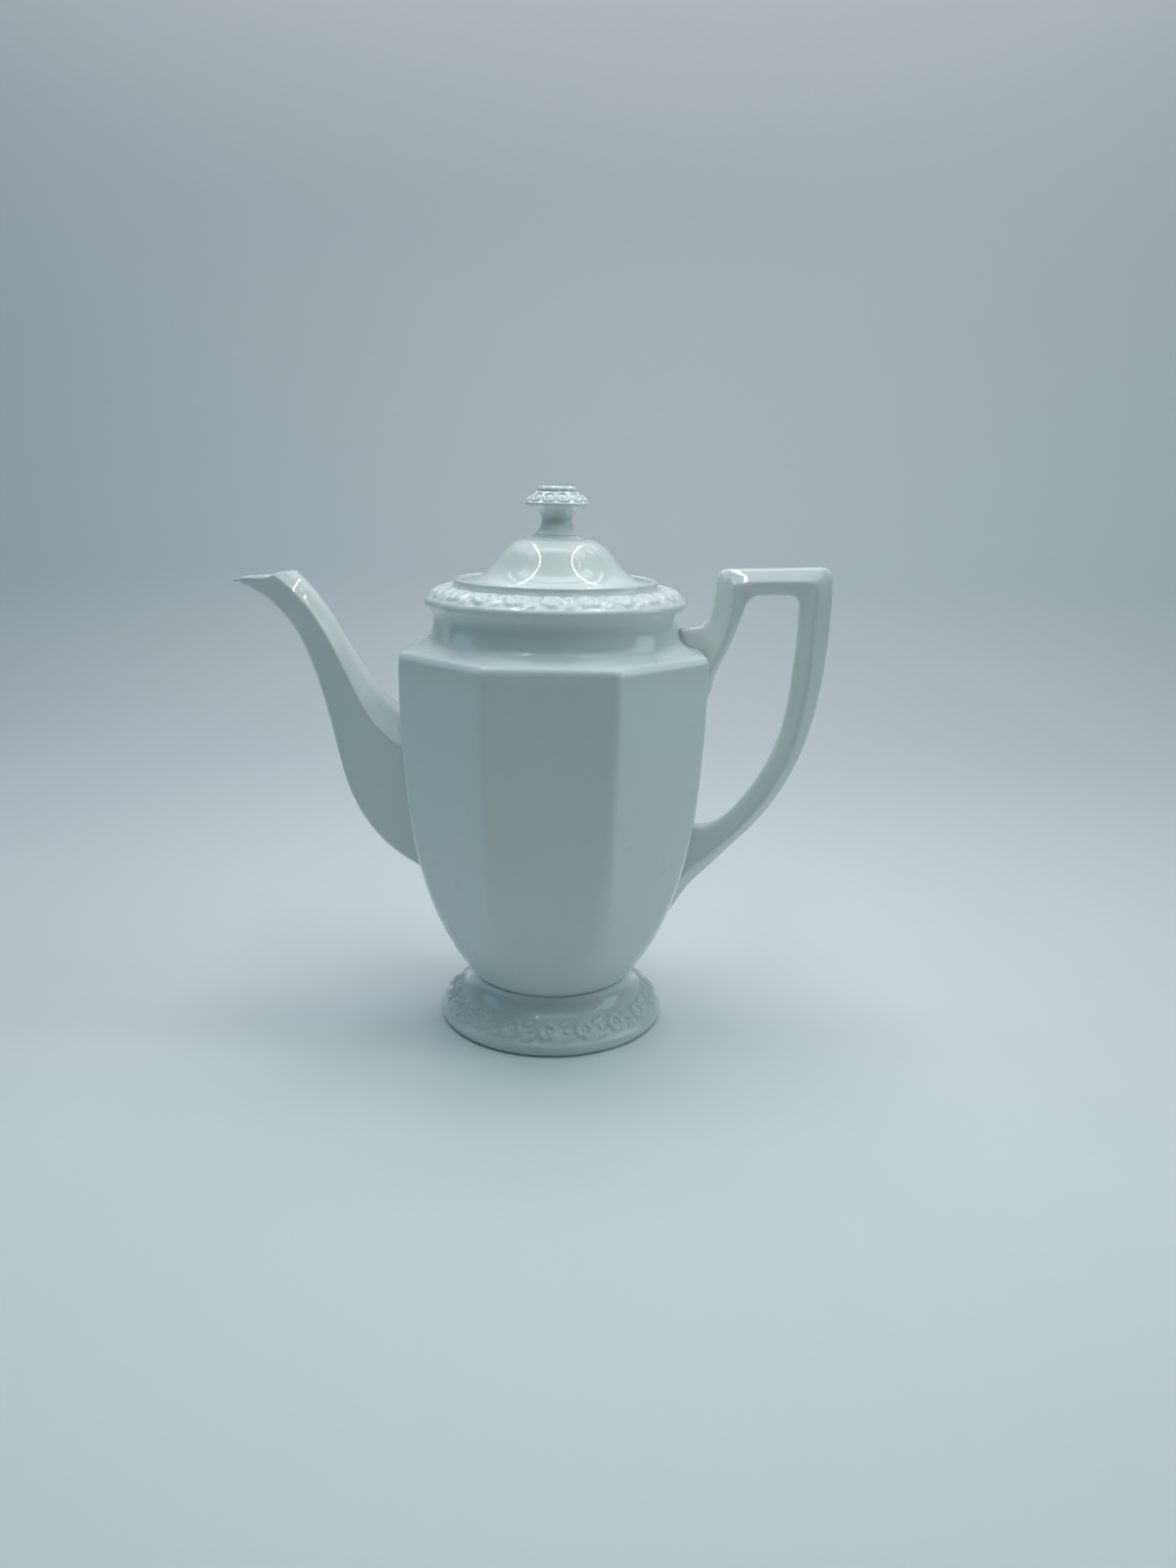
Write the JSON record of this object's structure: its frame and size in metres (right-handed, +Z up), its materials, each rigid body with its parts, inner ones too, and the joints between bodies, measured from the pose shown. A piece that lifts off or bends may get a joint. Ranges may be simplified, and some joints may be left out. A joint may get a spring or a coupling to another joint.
{
  "type": "coffee pot",
  "caption": "White glazed porcelain coffee pot: tall octagonal body on a round foot, curved spout, squared loop handle, flower relief bands and a lift-off domed lid.",
  "frame": {"origin": "middle of the foot, on the table that the pot stands on", "axes": "+Z up, -X along the spout, +X along the handle, the octagon's flat sides face X and Y"},
  "size_m": [0.2431, 0.1222, 0.225],
  "materials": {
    "glazed_porcelain": "smooth glossy clear glaze over white porcelain"
  },
  "bodies": {
    "pot": {"body": "glazed_porcelain", "foot": "glazed_porcelain", "spout": "glazed_porcelain", "handle": "glazed_porcelain"},
    "lid": {"lid": "glazed_porcelain", "knob": "glazed_porcelain"}
  },
  "joints": [
    {"name": "lid_lift", "type": "slide", "parent": "pot", "child": "lid", "axis": [0, 0, 1], "range_m": [0, 0.07]}
  ]
}
